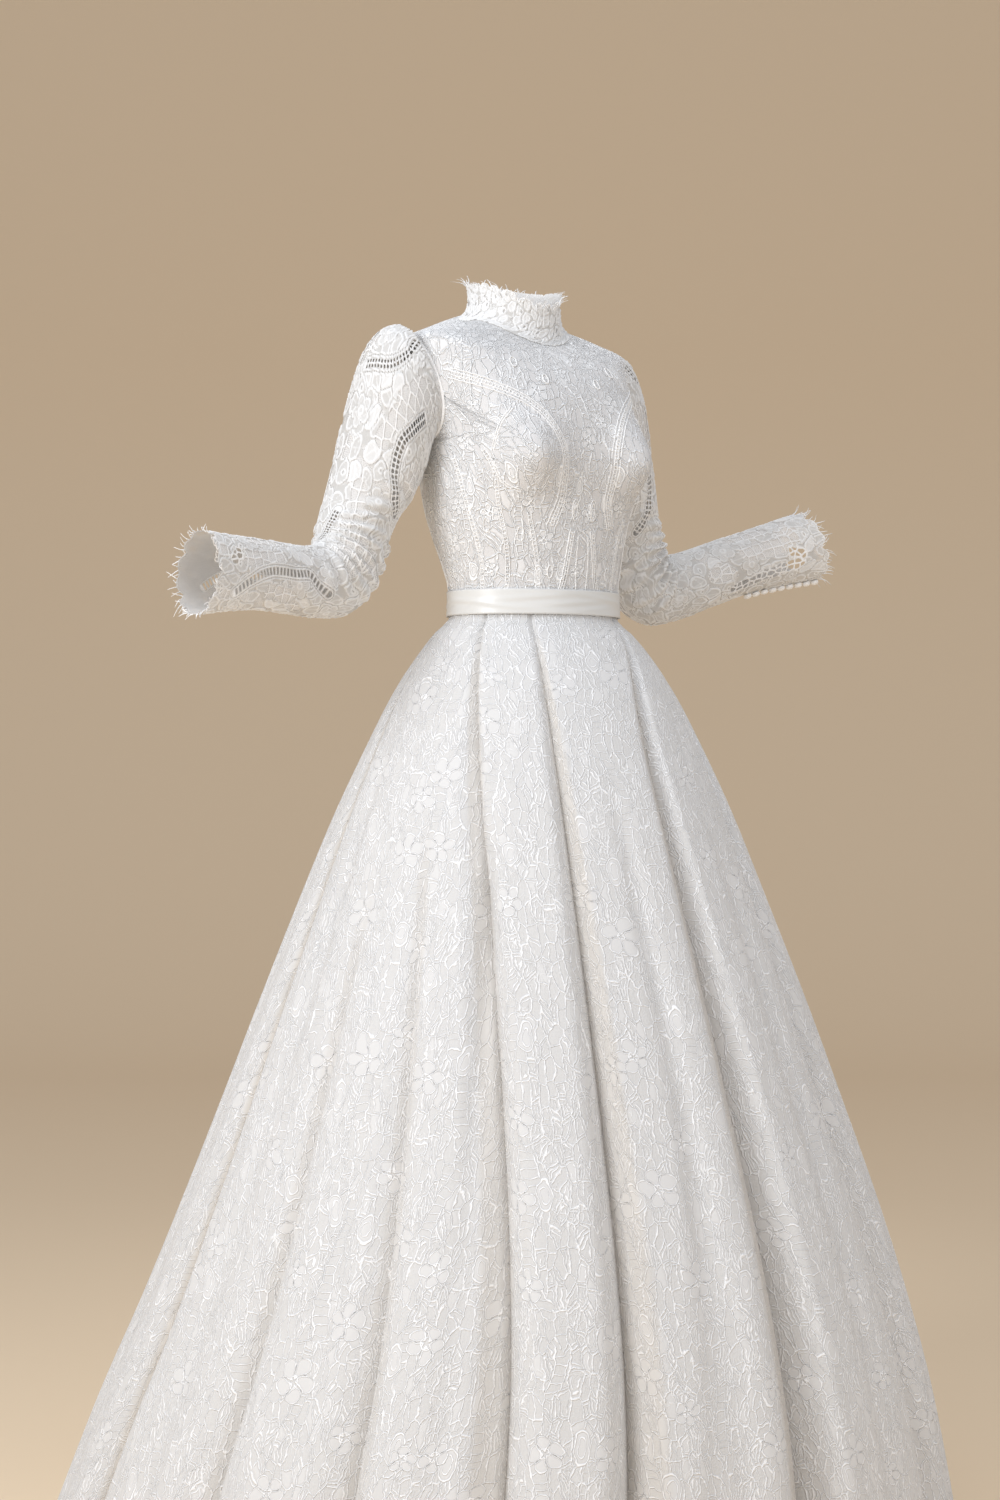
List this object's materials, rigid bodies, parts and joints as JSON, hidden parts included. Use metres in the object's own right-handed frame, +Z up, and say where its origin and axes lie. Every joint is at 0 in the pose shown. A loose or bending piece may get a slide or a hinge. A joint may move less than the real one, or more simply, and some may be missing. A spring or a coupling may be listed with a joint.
{
  "type": "wedding dress",
  "caption": "Floor-length lace gown in its worn form: stand collar, fitted bodice, long open-lace sleeves with covered buttons, ribbon waist and a full pleated skirt.",
  "frame": {"origin": "midway between the two shoulder points, where the wearer carries the dress", "axes": "+Z up, +X to the wearer's left, -Y to the front"},
  "size_m": [1.1725, 1.1768, 1.6157],
  "materials": {
    "lace": "matte ivory lace over a plain lining",
    "sleeve_lace": "matte open lace",
    "satin": "soft satin ribbon",
    "covered_button": "satin-covered dome"
  },
  "bodies": {
    "root": {"belt": "satin", "bodice_back_L": "lace", "bodice_back_R": "lace", "bodice_front": "lace", "bodice_side_front_L": "lace", "bodice_side_front_R": "lace", "button_L_1": "covered_button", "button_L_2": "covered_button", "button_L_3": "covered_button", "button_L_4": "covered_button", "button_L_5": "covered_button", "button_L_6": "covered_button", "button_L_7": "covered_button", "button_L_8": "covered_button", "button_L_9": "covered_button", "button_R_1": "covered_button", "button_R_2": "covered_button", "button_R_3": "covered_button", "button_R_4": "covered_button", "button_R_5": "covered_button", "button_R_6": "covered_button", "button_R_7": "covered_button", "button_R_8": "covered_button", "button_R_9": "covered_button", "collar": "lace", "edging_collar": "sleeve_lace", "edging_cuff_L": "sleeve_lace", "edging_cuff_R": "sleeve_lace", "skirt_back_L": "lace", "skirt_back_R": "lace", "skirt_front": "lace", "skirt_side_L": "lace", "skirt_side_R": "lace", "skirt_side_back_L": "lace", "skirt_side_back_R": "lace", "sleeve_L_back": "sleeve_lace", "sleeve_L_front": "sleeve_lace", "sleeve_R_back": "sleeve_lace", "sleeve_R_front": "sleeve_lace"}
  },
  "joints": []
}
